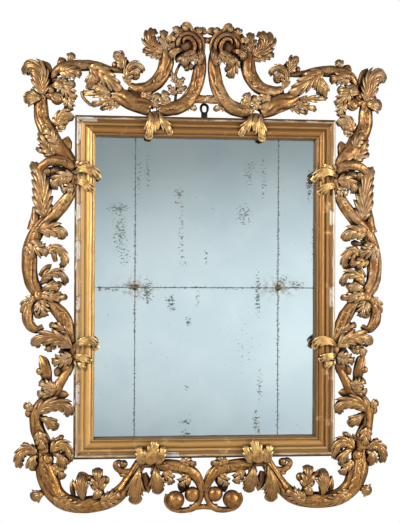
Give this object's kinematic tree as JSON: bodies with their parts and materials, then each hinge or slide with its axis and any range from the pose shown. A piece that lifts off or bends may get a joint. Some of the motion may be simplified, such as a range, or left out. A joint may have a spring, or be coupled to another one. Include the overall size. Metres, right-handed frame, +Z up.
{
  "type": "wall mirror",
  "caption": "Rectangular wall mirror in a moulded giltwood frame with an openwork surround of carved acanthus scrolls, hung from an iron eye above the frame.",
  "frame": {"origin": "bearing point at the inner top of the iron hanging eye, in the middle of the iron's thickness", "axes": "+Z up, +Y into the wall, +X to the viewer's right seen from the front; the mirror faces -Y"},
  "size_m": [1.5951, 0.0962, 2.079],
  "materials": {
    "gilding": "worn water gilding over red bole on carved wood",
    "frame_gilding": "rubbed gilding with brown streaks and bare gesso on the edges",
    "mirror_plate": "old tin-mercury silvering with foxing",
    "brass": "dull brass",
    "iron": "blackened forged iron",
    "pine": "raw aged pine"
  },
  "bodies": {
    "root": {"carved_crest": "gilding", "carved_left": "gilding", "carved_right": "gilding", "carved_apron": "gilding", "rail_top": "frame_gilding", "rail_bottom": "frame_gilding", "rail_left": "frame_gilding", "rail_right": "frame_gilding", "plate_top_left": "mirror_plate", "plate_top_middle": "mirror_plate", "plate_top_right": "mirror_plate", "plate_bottom_left": "mirror_plate", "plate_bottom_middle": "mirror_plate", "plate_bottom_right": "mirror_plate", "plate_button_left": "brass", "plate_button_right": "brass", "back_board": "pine", "hanging_ring": "iron"}
  },
  "joints": []
}
